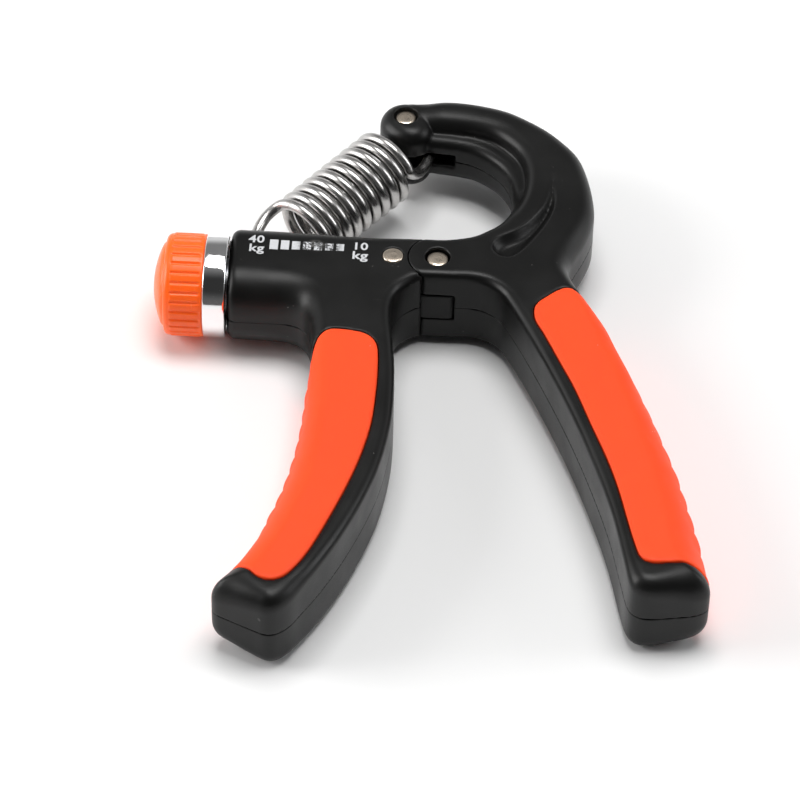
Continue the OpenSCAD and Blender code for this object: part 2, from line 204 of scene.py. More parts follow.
def surface_nets(values, grid):
    """One vertex in each cell that the surface crosses, one quad for each crossed edge."""
    inside = values < 0
    nx, ny, nz = values.shape
    count = np.zeros((nx - 1, ny - 1, nz - 1), np.int8)
    for i, j, k in CORNERS:
        count += inside[i:nx - 1 + i, j:ny - 1 + j, k:nz - 1 + k]
    crossed = (count > 0) & (count < 8)
    cells = np.argwhere(crossed)
    ids = np.full(crossed.shape, -1, np.int64)
    ids[crossed] = np.arange(len(cells))
    total = np.zeros((len(cells), 3))
    hits = np.zeros(len(cells))
    for corner in CORNERS:
        for axis in range(3):
            if corner[axis]:
                continue
            other = list(corner)
            other[axis] = 1
            a = values[tuple((cells + corner).T)]
            b = values[tuple((cells + other).T)]
            hit = (a < 0) != (b < 0)
            t = np.where(hit, a / np.where(hit, a - b, 1), 0)
            for c in range(3):
                total[:, c] += np.where(hit, corner[c] + (t if c == axis else 0), 0)
            hits += hit
    places = total / hits[:, None] + cells
    faces = []
    for axis in range(3):
        lower = [slice(1, n - 1) for n in values.shape]
        lower[axis] = slice(0, values.shape[axis] - 1)
        upper = list(lower)
        upper[axis] = slice(1, values.shape[axis])
        low, high = inside[tuple(lower)], inside[tuple(upper)]
        edges = np.nonzero(low != high)
        index = [e + (0 if c == axis else 1) for c, e in enumerate(edges)]
        quad = []
        for d1, d2 in ((0, 0), (1, 0), (1, 1), (0, 1)):
            cell = [e.copy() for e in index]
            cell[(axis + 1) % 3] -= d1
            cell[(axis + 2) % 3] -= d2
            quad.append(ids[tuple(cell)])
        quad = np.stack(quad, 1)
        outward = low[edges]
        quad[~outward] = quad[~outward][:, ::-1]
        faces.append(quad)
    verts = [np.interp(places[:, c], np.arange(len(g)), g) for c, g in enumerate(grid)]
    return np.stack(verts, 1), np.vstack(faces)


def axis_grid(lo, hi, step, fine):
    """Grid positions from lo to hi, closer together in the fine bands (start, end, step)."""
    ease = 1.2  # distance over which a band's step grows back
    out = [lo]
    while out[-1] < hi:
        x = out[-1]
        s = step
        for a, b, f in fine:
            gap = max(a - x, x - b, 0)
            s = min(s, max(f, f + (step - f) * min(gap / ease, 1)))
            if x < a:
                s = min(s, max(a - x, f))
        out.append(x + s)
    return np.array(out)


def mesh_obj(name, verts, faces, mat, smooth=True, uv=None):
    """Mesh object from millimetre vertices; faces are a quad array or a list of tuples."""
    me = bpy.data.meshes.new(name)
    verts = (np.asarray(verts, float) + np.array([0, 0, LIFT])) * MM
    if isinstance(faces, np.ndarray):
        n, k = faces.shape
        me.vertices.add(len(verts))
        me.vertices.foreach_set("co", verts.astype(np.float32).ravel())
        me.loops.add(n * k)
        me.loops.foreach_set("vertex_index", faces.astype(np.int32).ravel())
        me.polygons.add(n)
        me.polygons.foreach_set("loop_start", np.arange(0, n * k, k, dtype=np.int32))
        me.polygons.foreach_set("loop_total", np.full(n, k, np.int32))
        me.update(calc_edges=True)
        me.validate()
    else:
        me.from_pydata([tuple(v) for v in verts], [], faces)
        me.update()
    if smooth:
        me.polygons.foreach_set("use_smooth", np.ones(len(me.polygons), bool))
    if uv is not None:
        layer = me.uv_layers.new(name="UVMap")
        corner = np.empty(len(me.loops), np.int32)
        me.loops.foreach_get("vertex_index", corner)
        layer.data.foreach_set("uv", np.asarray(uv, np.float32)[corner].ravel())
    me.materials.append(mat)
    return link_obj(name, me)


def link_obj(name, data):
    ob = bpy.data.objects.new(name, data)
    bpy.context.scene.collection.objects.link(ob)
    return ob


def sdf_obj(name, field, lo, hi, step, mat, fine=((), (), ())):
    """Mesh the zero surface of field(x, y, z), closed at the walls of the box."""
    grid = [axis_grid(*args) for args in zip(lo, hi, (step,) * 3, fine)]
    x, y = np.meshgrid(grid[0], grid[1], indexing="ij")
    v = field(x[..., None], y[..., None], grid[2][None, None, :]).astype(np.float32)
    wall = 0.01
    v[[0, -1]] = np.maximum(v[[0, -1]], wall)
    v[:, [0, -1]] = np.maximum(v[:, [0, -1]], wall)
    v[:, :, [0, -1]] = np.maximum(v[:, :, [0, -1]], wall)
    verts, faces = surface_nets(v, grid)
    return mesh_obj(name, verts, faces, mat)


def ring_faces(rings, sides, closed=True):
    """Quads between successive rings, with a face over each end if closed."""
    i = np.arange(rings - 1)[:, None] * sides
    j = np.arange(sides)[None, :]
    j2 = (j + 1) % sides
    quads = np.stack([i + j, i + j2, i + sides + j2, i + sides + j], -1).reshape(-1, 4)
    faces = [tuple(f) for f in quads]
    if closed:
        faces.append(tuple(range(sides - 1, -1, -1)))
        faces.append(tuple((rings - 1) * sides + k for k in range(sides)))
    return faces


def fix_normals(ob):
    bm = bmesh.new()
    bm.from_mesh(ob.data)
    bmesh.ops.recalc_face_normals(bm, faces=bm.faces)
    bm.to_mesh(ob.data)
    bm.free()


def lathe(name, profile, mat, centre, axis, n, modulate=None, closed=True):
    """Turn [radius, height] points about z through (x, y), or about x through (y, z)."""
    profile = np.asarray(profile, float)
    m = len(profile)
    angle = (np.arange(n) * 2 * math.pi / n)[None, :]
    radius, height = profile[:, 0][:, None], profile[:, 1][:, None]
    r = radius + (modulate(radius, height, angle) if modulate else 0 * angle)
    h = np.broadcast_to(height, r.shape)
    a = centre[0] + r * np.cos(angle)
    b = centre[1] + r * np.sin(angle)
    verts = np.stack((a, b, h) if axis == "z" else (h, a, b), -1).reshape(-1, 3)
    u, v = angle / (2 * math.pi), (np.arange(m) / (m - 1))[:, None]
    uv = np.stack(np.broadcast_arrays(u, v), -1).reshape(-1, 2)
    ob = mesh_obj(name, verts, ring_faces(m, n, closed), mat, uv=uv)
    fix_normals(ob)
    return ob


def tube(name, path, radius, mat):
    """Round wire swept along a path, with rounded ends."""
    sides = 20
    ends = [(0.0, 0.55), (0.066, 0.86), (0.176, 0.98)]  # distance in, share of the radius
    bare = 0.4  # no plain rings this near an end
    path = np.asarray(path, float)
    tangent = np.gradient(path, axis=0)
    tangent /= np.linalg.norm(tangent, axis=1)[:, None]
    arc = np.concatenate([[0], np.cumsum(np.linalg.norm(np.diff(path, axis=0), axis=1))])
    normal = np.zeros_like(path)
    previous = np.array([0, 0, 1.0])
    for i, t in enumerate(tangent):
        across = previous - previous.dot(t) * t
        previous = normal[i] = across / np.linalg.norm(across)
    binormal = np.cross(tangent, normal)
    last = len(path) - 1
    # index on the path, shift along it, radius
    rings = [(0, inset, share * radius) for inset, share in ends]
    rings += [(i, 0.0, radius) for i, s in enumerate(arc) if s > bare and arc[-1] - s > bare]
    rings += [(last, -inset, share * radius) for inset, share in ends[::-1]]
    angle = np.arange(sides) * 2 * math.pi / sides
    cos, sin = np.cos(angle)[:, None], np.sin(angle)[:, None]
    verts = np.vstack([path[i] + tangent[i] * shift + r * (cos * normal[i] + sin * binormal[i])
                       for i, shift, r in rings])
    lengths = np.array([arc[i] + shift for i, shift, _ in rings])
    uv = np.stack([np.repeat(lengths * 0.1, sides),
                   np.tile(angle / (2 * math.pi), len(rings))], -1)
    ob = mesh_obj(name, verts, ring_faces(len(rings), sides), mat, uv=uv)
    fix_normals(ob)
    return ob


def add(ob, body, slot, *nodes):
    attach(ob, body)
    if nodes:
        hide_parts(*nodes)


# ------------------------------------------------------------------ materials
class Graph:
    """Small helper to write node graphs."""

    def __init__(self, tree):
        self.tree = tree

    def node(self, kind, **attributes):
        node = self.tree.nodes.new(kind)
        for key, value in attributes.items():
            setattr(node, key, value)
        return node

    def feed(self, socket, value):
        """Link an output to the socket, or set a constant or an RGB colour on it."""
        if isinstance(value, tuple):
            socket.default_value = (*value, 1)
        elif isinstance(value, (int, float)):
            socket.default_value = value
        else:
            self.tree.links.new(value, socket)

    def coords(self, scale=(1000, 1000, 1000), kind="Object", rot=(0, 0, 0)):
        """Texture coordinates; the plain scale gives millimetres."""
        coord = self.node("ShaderNodeTexCoord")
        mapping = self.node("ShaderNodeMapping")
        mapping.inputs["Scale"].default_value = scale
        mapping.inputs["Rotation"].default_value = rot
        self.feed(mapping.inputs[0], coord.outputs[kind])
        return mapping.outputs[0]

    def split(self, vector):
        node = self.node("ShaderNodeSeparateXYZ")
        self.feed(node.inputs[0], vector)
        return node.outputs

    def noise(self, vector, scale, detail, rough, distort=0.0):
        node = self.node("ShaderNodeTexNoise")
        node.inputs["Scale"].default_value = scale
        node.inputs["Detail"].default_value = detail
        node.inputs["Roughness"].default_value = rough
        node.inputs["Distortion"].default_value = distort
        self.feed(node.inputs["Vector"], vector)
        return node.outputs["Fac"]

    def voronoi(self, vector, scale):
        node = self.node("ShaderNodeTexVoronoi")
        node.inputs["Scale"].default_value = scale
        self.feed(node.inputs["Vector"], vector)
        return node.outputs["Distance"]

    def ramp(self, value, at, to=(0.0, 1.0)):
        """Smooth ramp from to[0] to to[1] while the value runs from at[0] to at[1]."""
        node = self.node("ShaderNodeMapRange", interpolation_type="SMOOTHSTEP")
        for key, limit in zip(("From Min", "From Max", "To Min", "To Max"), at + to):
            node.inputs[key].default_value = limit
        self.feed(node.inputs["Value"], value)
        return node.outputs[0]

    def math(self, operation, *values):
        node = self.node("ShaderNodeMath", operation=operation)
        for i, value in enumerate(values):
            self.feed(node.inputs[i], value)
        return node.outputs[0]

    def mul(self, a, b):
        return self.math("MULTIPLY", a, b)

    def add(self, a, b):
        return self.math("ADD", a, b)

    def mix(self, factor, under, over):
        node = self.node("ShaderNodeMix", data_type="RGBA")
        for i, value in ((0, factor), (6, under), (7, over)):
            self.feed(node.inputs[i], value)
        return node.outputs[2]

    def vary(self, factor, colour, dark, light):
        """Colour that wanders between two brightnesses."""
        return self.mix(factor, shade(colour, dark), shade(colour, light))

    def bump(self, height, strength, depth, normal=None):
        """Bump of a depth in millimetres, on top of normal."""
        node = self.node("ShaderNodeBump")
        node.inputs["Strength"].default_value = strength
        node.inputs["Distance"].default_value = depth * MM
        self.feed(node.inputs["Height"], height)
        if normal is not None:
            self.feed(node.inputs["Normal"], normal)
        return node.outputs[0]


def shade(colour, factor):
    return tuple(min(1, c * factor) for c in colour)


def new_mat(name):
    mat = bpy.data.materials.new(name)
    mat.use_nodes = True
    tree = mat.node_tree
    for node in list(tree.nodes):
        tree.nodes.remove(node)
    out = tree.nodes.new("ShaderNodeOutputMaterial")
    bsdf = tree.nodes.new("ShaderNodeBsdfPrincipled")
    tree.links.new(bsdf.outputs[0], out.inputs[0])
    return mat, Graph(tree), bsdf


def finish(g, bsdf, colour, rough, normal, settings):
    for key, output in (("Base Color", colour), ("Roughness", rough), ("Normal", normal)):
        if output is not None:
            g.feed(bsdf.inputs[key], output)
    for key, value in settings.items():
        bsdf.inputs[key].default_value = value


def black_plastic(name, rough, base):
    mat, g, bsdf = new_mat(name)
    v = g.coords()
    large = g.noise(v, scale=0.09, detail=3, rough=0.5)
    fine = g.noise(v, scale=7.0, detail=3, rough=0.7)
    grain = g.noise(v, scale=2.6, detail=4, rough=0.65)
    # dust: few tiny pale specks, in patches
    cells = g.voronoi(v, scale=0.62)
    patch = g.ramp(g.noise(v, scale=0.16, detail=2, rough=0.5), at=(0.5, 0.72))
    dust = g.mul(g.ramp(cells, at=(0.055, 0.03)), patch)
    # fine hairline scratches
    streaks = g.coords(scale=(60, 1400, 400), rot=(0.0, 0.0, 0.5))
    hair = g.ramp(g.noise(streaks, scale=1.3, detail=2, rough=0.4), at=(0.735, 0.76))
    patch = g.ramp(g.noise(v, scale=0.12, detail=2, rough=0.5), at=(0.52, 0.66))
    hair = g.mul(hair, patch)
    hair_share = 0.22
    marks = g.math("MAXIMUM", dust, g.mul(hair, hair_share))
    # pale elliptical smear on the top face where the middle of the scale is rubbed
    axes = g.split(v)
    squares = []
    for axis, shift, stretch in ((axes[0], 23.7, 0.42), (axes[1], -1.45, 0.50)):
        offset = g.mul(g.add(axis, shift), stretch)
        squares.append(g.mul(offset, offset))
    radius = g.math("SQRT", g.add(*squares))
    blot = g.noise(v, scale=1.3, detail=5, rough=0.7, distort=0.8)
    smear = g.mul(g.ramp(radius, at=(1.05, 0.25)), g.ramp(blot, at=(0.40, 0.66)))
    smear = g.mul(smear, g.ramp(axes[2], at=(17.2, 17.35)))
    smear_share = 0.42
    marks = g.math("MAXIMUM", marks, g.mul(smear, smear_share))
    colour = g.vary(large, base, dark=0.85, light=1.25)
    colour = g.mix(marks, colour, over=(0.30, 0.29, 0.28))
    # marks are duller than the plastic, and the fine noise breaks up the gloss
    marks_rough, fine_middle, fine_rough = 0.25, 0.5, 0.12
    r = g.ramp(large, at=(0.3, 0.7), to=(rough - 0.04, rough + 0.05))
    r = g.add(r, g.mul(marks, marks_rough))
    r = g.add(r, g.mul(g.math("SUBTRACT", fine, fine_middle), fine_rough))
    normal = g.bump(fine, strength=0.16, depth=0.05)
    normal = g.bump(grain, strength=0.10, depth=0.12, normal=normal)
    finish(g, bsdf, colour, r, normal, {"IOR": 1.5, "Specular IOR Level": 0.27})
    return mat


def orange_rubber():
    mat, g, bsdf = new_mat("rubber_orange")
    v = g.coords()
    large = g.noise(v, scale=0.07, detail=3, rough=0.5)
    fine = g.noise(v, scale=6.0, detail=4, rough=0.7)
    pits = g.voronoi(v, scale=3.2)
    soil_share, speck_share = 0.10, 0.7
    colour = g.vary(large, (1.0, 0.068, 0.008), dark=0.93, light=1.06)
    soil = g.ramp(g.noise(v, scale=0.35, detail=5, rough=0.6), at=(0.56, 0.78))
    colour = g.mix(g.mul(soil, soil_share), colour, over=(0.55, 0.05, 0.015))
    specks = g.ramp(g.voronoi(v, scale=0.33), at=(0.045, 0.025))
    patch = g.ramp(g.noise(v, scale=0.11, detail=2, rough=0.5), at=(0.5, 0.6))
    specks = g.mul(specks, patch)
    colour = g.mix(g.mul(specks, speck_share), colour, over=(0.9, 0.6, 0.5))
    base_rough = 0.60
    rough = g.ramp(large, at=(0.3, 0.7), to=(base_rough - 0.05, base_rough + 0.06))
    normal = g.bump(fine, strength=0.22, depth=0.06)
    normal = g.bump(pits, strength=0.06, depth=0.10, normal=normal)
    finish(g, bsdf, colour, rough, normal, {
        "Subsurface Weight": 0.22, "Subsurface Radius": (1.0, 0.25, 0.08),
        "Subsurface Scale": 0.0016, "Specular IOR Level": 0.32})
    return mat


def orange_plastic():
    mat, g, bsdf = new_mat("plastic_orange")
    v = g.coords()
    large = g.noise(v, scale=0.10, detail=3, rough=0.5)
    fine = g.noise(v, scale=5.0, detail=3, rough=0.6)
    colour = g.vary(large, (1.0, 0.125, 0.010), dark=0.95, light=1.05)
    streaks = g.coords(scale=(900, 250, 250))
    scuff = g.ramp(g.noise(streaks, scale=1.5, detail=3, rough=0.6), at=(0.66, 0.74))
    scuff_share = 0.18
    colour = g.mix(g.mul(scuff, scuff_share), colour, over=(1.0, 0.42, 0.22))
    rough = g.ramp(fine, at=(0.3, 0.7), to=(0.27, 0.38))
    normal = g.bump(fine, strength=0.10, depth=0.05)
    # painted light: the faint orange emission makes the knob glow, brighter than the lamps alone
    # light it
    finish(g, bsdf, colour, rough, normal, {
        "Subsurface Weight": 0.25, "Subsurface Radius": (1.0, 0.3, 0.1),
        "Subsurface Scale": 0.002, "Emission Color": (1.0, 0.16, 0.02, 1),
        "Emission Strength": 0.10, "Specular IOR Level": 0.4})
    return mat


def metal(name, base, rough, treat):
    """Metal whose colour, roughness and normal are completed by treat."""
    mat, g, bsdf = new_mat(name)
    v = g.coords()
    large = g.noise(v, scale=0.4, detail=3, rough=0.5)
    colour = g.vary(large, base, dark=0.93, light=1.05)
    fine = g.noise(v, scale=9.0, detail=3, rough=0.7)
    finish(g, bsdf, *treat(g, v, base, rough, large, fine, colour), {"Metallic": 1.0})
    return mat


def drawn_wire(g, v, base, rough, large, fine, colour):
    """Drawing lines along the wire, stains, and painted shade that darkens the wire where the
    coils crowd together.
    """
    lines = g.noise(g.coords(scale=(1.5, 60, 1), kind="UV"), scale=2.2, detail=4, rough=0.7)
    stain = g.noise(v, scale=0.55, detail=5, rough=0.65, distort=0.6)
    stain_share = 0.45
    stain = g.mul(g.ramp(stain, at=(0.52, 0.74)), stain_share)
    colour = g.mix(stain, colour, over=(0.36, 0.30, 0.27))
    # painted shade: ambient occlusion darkens the wire colour between and inside the coils
    occlusion = g.node("ShaderNodeAmbientOcclusion", samples=6)
    occlusion.inputs["Distance"].default_value = 0.005
    painted_coil_shade = g.ramp(occlusion.outputs["AO"], at=(0.62, 0.18))
    colour = g.mix(painted_coil_shade, colour, over=(0.035, 0.032, 0.030))
    r = g.ramp(lines, at=(0.3, 0.75), to=(rough * 0.7, rough * 1.7))
    normal = g.bump(lines, strength=0.16, depth=0.03)
    return colour, r, g.bump(fine, strength=0.08, depth=0.02, normal=normal)


def chrome_plate(g, v, base, rough, large, fine, colour):
    """Bright plating with a few pits, in patches."""
    pits = g.ramp(g.voronoi(v, scale=1.1), at=(0.07, 0.03))
    patch = g.ramp(g.noise(v, scale=0.35, detail=2, rough=0.5), at=(0.5, 0.62))
    pits = g.mul(pits, patch)
    pit_share, pit_rough = 0.6, 0.3
    colour = g.mix(g.mul(pits, pit_share), colour, over=(0.35, 0.30, 0.27))
    r = g.ramp(large, at=(0.3, 0.7), to=(rough, rough + 0.03))
    r = g.add(r, g.mul(pits, pit_rough))
    waves = g.noise(v, scale=0.5, detail=3, rough=0.5)
    normal = g.bump(waves, strength=0.05, depth=0.06)
    return colour, r, g.bump(fine, strength=0.04, depth=0.01, normal=normal)


def turned(g, v, base, rough, large, fine, colour):
    """Turning marks that follow the UVs round each pin's own axis."""
    rings = g.noise(g.coords(scale=(1, 26, 1), kind="UV"), scale=3.0, detail=3, rough=0.6)
    stain = g.ramp(g.noise(v, scale=1.3, detail=4, rough=0.6), at=(0.5, 0.75))
    stain_share, stain_shade = 0.35, 0.62
    colour = g.mix(g.mul(stain, stain_share), colour, over=shade(base, stain_shade))
    r = g.ramp(rings, at=(0.3, 0.7), to=(rough * 0.85, rough * 1.2))
    normal = g.bump(rings, strength=0.10, depth=0.02)
    return colour, r, g.bump(fine, strength=0.10, depth=0.015, normal=normal)


def plain(g, v, base, rough, large, fine, colour):
    stain = g.ramp(g.noise(v, scale=0.9, detail=4, rough=0.6), at=(0.5, 0.8))
    stain_share, stain_shade = 0.3, 0.6
    colour = g.mix(g.mul(stain, stain_share), colour, over=shade(base, stain_shade))
    r = g.ramp(fine, at=(0.3, 0.7), to=(rough * 0.8, rough * 1.3))
    return colour, r, g.bump(fine, strength=0.15, depth=0.02)


def white_print():
    mat, g, bsdf = new_mat("pad_print_white")
    v = g.coords()
    wear = g.ramp(g.noise(v, scale=1.6, detail=5, rough=0.7), at=(0.60, 0.68))
    # the middle of the scale is rubbed by fingers
    x = g.split(v)[0]
    middle = g.mul(g.ramp(x, at=(-28.2, -25.0)), g.ramp(x, at=(-17.5, -20.5)))
    blot = g.noise(v, scale=0.95, detail=5, rough=0.75, distort=1.2)
    rub = g.mul(middle, g.ramp(blot, at=(0.44, 0.54)))
    wear_share = 0.25
    bare = g.math("MAXIMUM", g.mul(wear, wear_share), rub)
    tone = g.noise(v, scale=2.0, detail=3, rough=0.6)
    colour = g.mix(tone, under=(0.50, 0.51, 0.53), over=(0.66, 0.67, 0.69))
    g.feed(bsdf.inputs["Alpha"], g.ramp(bare, at=(0.0, 1.0), to=(1.0, 0.12)))
    normal = g.bump(g.noise(v, scale=6, detail=3, rough=0.6), strength=0.1, depth=0.02)
    finish(g, bsdf, colour, None, normal, {"Roughness": 0.45})
    return mat


def white_floor():
    mat, g, bsdf = new_mat("floor_white")
    tone = g.noise(g.coords(scale=(10, 10, 10)), scale=1.2, detail=3, rough=0.5)
    colour = g.mix(tone, under=(0.86, 0.862, 0.866), over=(0.89, 0.89, 0.892))
    rough = g.noise(g.coords(), scale=0.5, detail=3, rough=0.5)
    rough = g.ramp(rough, at=(0.3, 0.7), to=(0.5, 0.6))
    finish(g, bsdf, colour, rough, None, {"Specular IOR Level": 0.25})
    return mat


BLACK = black_plastic("plastic_black", rough=0.37, base=(0.0040, 0.0040, 0.0039))
HINGE_BLACK = black_plastic("plastic_black_hinge", rough=0.46, base=(0.0045, 0.0045, 0.0046))
RUBBER = orange_rubber()
KNOB_ORANGE = orange_plastic()
CHROME = metal("chrome_ring_plate", base=(0.96, 0.965, 0.98), rough=0.06, treat=chrome_plate)
WIRE = metal("spring_wire", base=(0.56, 0.55, 0.54), rough=0.24, treat=drawn_wire)
NICKEL = metal("pin_nickel", base=(0.66, 0.57, 0.47), rough=0.30, treat=turned)
ZINC = metal("zinc_plated", base=(0.62, 0.63, 0.66), rough=0.28, treat=plain)
BRONZE = metal("sintered_bronze", base=(0.63, 0.43, 0.22), rough=0.42, treat=plain)
PRINT = white_print()

# ------------------------------------------------------------------ outlines, [x, y]
LEFT_OUTLINE = spline([
    [-52, 7.9], [-60, 7.9], [-62, 0], [-60, -11.8], [-52, -11.8], [-44, -11.8], [-38.2, -11.8],
    [-33, -11.8], [-28.4, -11.9], [-25.5, -13.0], [-23.8, -15.4], [-23, -19], [-22.7, -24],
    [-22.5, -30], [-22.5, -36], [-22.8, -43], [-23.5, -50], [-24.7, -57], [-26.5, -64],
    [-29, -71], [-32.1, -77.5], [-34.3, -81], [-36.1, -83.5], [-36.5, -85.2], [-35.6, -86.5],
    [-33, -87.8], [-29, -89.7], [-26.4, -90.7], [-24.3, -90.2], [-22.3, -88.4], [-20.4, -85.3],
    [-17.4, -80.0], [-13.9, -72.5], [-10.4, -63], [-8, -54], [-6.7, -44.2], [-6.5, -37],
    [-6.8, -29], [-7.5, -22], [-8.2, -16], [-8.1, -11.5], [-6.6, -8.2], [-3.4, -5.55],
    [0, -5.15], [4, -5.1], [9, -5.1], [12, -3], [12, 3], [9, 5.6], [4, 5.5], [0, 5.5],
    [-8, 5.7], [-15, 6.2], [-22, 7.0], [-30, 7.8], [-40, 7.9]])
# the right handle starts with the inner wall of its arm
ARM_INNER = [
    [0, 5.5], [3.1, 6.0], [6.9, 7.3], [10.2, 9.9], [12.6, 13], [13.9, 17.5], [14, 22.5],
    [13.5, 26.7], [12.2, 29.9], [10.1, 32.6], [7, 35.1], [4, 36.4], [0, 37.1], [-4, 37.4],
    [-8.4, 37.6]]
RIGHT_REST = [
    [-8.4, 47.2], [-4, 47.6], [1.4, 47.8], [7.5, 46.7], [13.6, 44.4], [19.8, 40.2],
    [24.0, 36.0], [27.0, 31.6], [28.9, 25.1], [29.9, 18.5], [29.6, 14], [28.3, 9.6],
    [26.7, 5.6], [25.6, 2.6], [25.3, -0.4], [26.3, -4.0], [28.5, -8.4], [32.3, -15],
    [35.2, -21.8], [39.3, -32.1], [43.0, -42.5], [46.3, -53], [49, -64], [51.1, -73],
    [52.2, -77], [52.2, -79.6], [50, -81.2], [46, -82.0], [42, -82.6], [39.5, -82.2],
    [37.8, -80.3], [36.6, -75.2], [34.4, -64.5], [31.6, -54.5], [27.8, -43], [23.4, -31.5],
    [18.4, -19.8], [14.2, -11], [12.3, -8], [9.6, -5.9], [6.4, -5.1], [3, -5.15], [0, -5.15],
    [-4, -5.2], [-9, -5.3], [-12, -3], [-12, 3], [-9, 5.6], [-4, 5.55]]
# upper deck of the arm: its inner edge stands back from the inner wall
DECK_INNER = ARM_INNER[:4] + [
    [12.9, 12.8], [15.0, 17.1], [16.2, 22.0], [16.3, 27.0], [15.3, 31.2], [13.1, 34.6],
    [9.6, 37.7], [5.6, 39.3], [1.0, 40.1], [-4, 40.4], [-8.4, 40.5]]
RIGHT_OUTLINE = spline(ARM_INNER + RIGHT_REST)
DECK = spline(DECK_INNER + RIGHT_REST)
CRESCENT = spline([
    [21.5, 25.2], [22.2, 21], [22.1, 16.5], [20.9, 12], [18.5, 7], [15.9, 2.9], [13.8, 1.1],
    [11.7, 1.5], [10.3, 3.8], [11.6, 6.2], [15.2, 8.8], [18.6, 13.2], [20.6, 18]])
# inner edge of each grip on the flat faces, and the path of its ribs along the outer side
LEFT_FACE = [
    [-22.6, -27.5], [-22.2, -25], [-21.5, -22.9], [-20.2, -21.6], [-18.3, -21.0],
    [-14.3, -21.4], [-12.2, -22.2], [-10.8, -23.7], [-10.1, -26], [-9.8, -31], [-9.8, -37.1],
    [-10.2, -45], [-11.2, -51.4], [-12.6, -57.5], [-14.7, -64.5], [-17.3, -72],
    [-19.4, -77.4], [-21.2, -81.0], [-23.4, -84.1], [-25.6, -85.3], [-28, -84.8],
    [-30.2, -82.8], [-33.0, -80.6]]
LEFT_OUTER = [
    [-33.0, -80.6], [-31.1, -76.8], [-28.4, -71], [-26.1, -64], [-24.4, -57], [-23.2, -50],
    [-22.5, -43], [-22.2, -36], [-22.3, -30], [-22.6, -27.5]]
RIGHT_FACE = [
    [28.4, -8.2], [27.0, -7.4], [25.4, -6.9], [23.6, -7.5], [21.2, -9.6], [19.6, -11.3],
    [18.9, -13.2], [19.3, -16.2], [21.1, -20], [24.1, -27], [27.1, -34.1], [30.2, -43],
    [32.9, -50.6], [35.2, -58.3], [37.2, -67], [38.4, -72], [39.6, -75.6], [41.6, -76.8],
    [44.8, -76.6], [48, -76.3], [52.2, -77.4]]
RIGHT_OUTER = [
    [52.2, -77.4], [50.8, -73], [48.7, -64], [46.0, -53], [42.7, -42.5], [39.0, -32.1],
    [35, -21.8], [31.8, -15], [28.4, -8.2]]
LEFT_SCREWS = [[-14.2, -12.6], [-14.6, -32], [-17.8, -60], [-28.4, -86]]
RIGHT_SCREWS = [[17.2, 4.5], [21.3, 19], [8.2, 40.4], [28, -24], [37.6, -49], [45.6, -78.6]]
# edge rounding, [x, y, radius]
LEFT_ROUNDING = [
    [-40, -12, 7.2], [-33, -11, 7.2], [-28, -9, 6.4], [-40, 6, 5.0], [-30, 6, 5.0],
    [-21, 5, 4.0], [-14, 5, 3.0], [-6, 4, 1.9], [0, 4, 1.5], [0, -4, 1.5], [6, -4, 1.5],
    [6, 4, 1.5], [-8, -8, 1.9], [-22.5, -17, 3.4], [-22.6, -26, 3.0], [-9, -16, 2.0],
    [-22.6, -33, 3.5], [-22.8, -42, 4.2], [-7, -40, 1.9], [-23.9, -52, 5.1], [-26, -62, 5.8],
    [-11, -60, 1.9], [-14.5, -70.5, 1.95], [-30, -72, 6.4], [-34, -80, 6.8], [-18, -80, 2.1],
    [-36.5, -85, 7.0], [-33, -88, 4.6], [-29, -90, 3.6], [-24, -90, 2.8]]
RIGHT_ROUNDING = [
    [0, 5, 1.5], [0, -5, 1.5], [-6, 5, 1.5], [-6, -5, 1.5], [7, 7, 1.9], [13, 13, 2.5],
    [14, 22, 2.6], [12, 30, 2.6], [5, 36, 2.6], [-3, 38, 2.6], [-3, 47, 4.0], [6, 47, 3.8],
    [14, 44, 3.6], [21, 39, 3.4], [26.5, 31, 3.3], [28.5, 23, 3.1], [28.8, 16, 3.4],
    [29.2, 13, 4.3], [28.3, 9.5, 4.8], [26.8, 5.5, 5.0], [25.6, 2.6, 4.6], [25.3, -0.4, 3.4],
    [26.3, -4.0, 2.3], [27.2, -6, 2.2], [28.8, -9, 2.4], [31.5, -13, 3.2], [36, -24, 3.7],
    [40.5, -35, 4.5], [44.5, -46, 5.2], [48, -60, 5.9], [51, -73, 6.6], [52.2, -79, 7.0],
    [50, -81, 5.0], [46, -82, 3.6], [40, -82, 3.0], [36, -75, 2.0], [33.4, -62, 1.9],
    [30, -50, 1.9], [26, -39.5, 1.9], [22, -29, 1.9], [15, -12, 1.9], [11, -7, 1.8],
    [6, -5, 1.6]]


def face_region(face, outward):
    """The grip's plan region: its inner edge, closed well outside the handle."""
    edge = spline(face, 5, closed=False)
    reach = np.array(outward) * 9
    return np.vstack([edge, edge[-1] + reach, edge[0] + reach])


LEFT_REGION = face_region(LEFT_FACE, (-1, 0.02))
RIGHT_REGION = face_region(RIGHT_FACE, (1, 0.12))

# ------------------------------------------------------------------ parts of both handles
GRIP_DEPTH = 2.0  # the grip lies in a pocket this deep
WALL = 2.3  # from the pocket's floor to the hollow
HOLLOW_HALF = 4.9
BORE = 2.06  # radius of the holes for the pins
BORE_EDGE = 0.12
SCREW_R, SCREW_TOP = 1.25, 5.6
SCREW_HEAD_R, SCREW_HEAD_Z = 2.55, -4.15
PARTING_GAP = 0.012
# first rib's start and last rib's end along the outer path, number of ribs
LEFT_RIBS = (9.4, 54.2, 10)
RIGHT_RIBS = (2.0, 67.6, 12)


def top_height(y):
    """Half thickness, growing a little towards the handle's free end."""
    return HALF + 0.38 * smooth_step(-15, -80, y)


def grip_pocket(body, region, x, y):
    void = meet(poly_sdf(region, x, y) - 0.13, -(body + GRIP_DEPTH))
    return round_cut(body, void, 0.22)


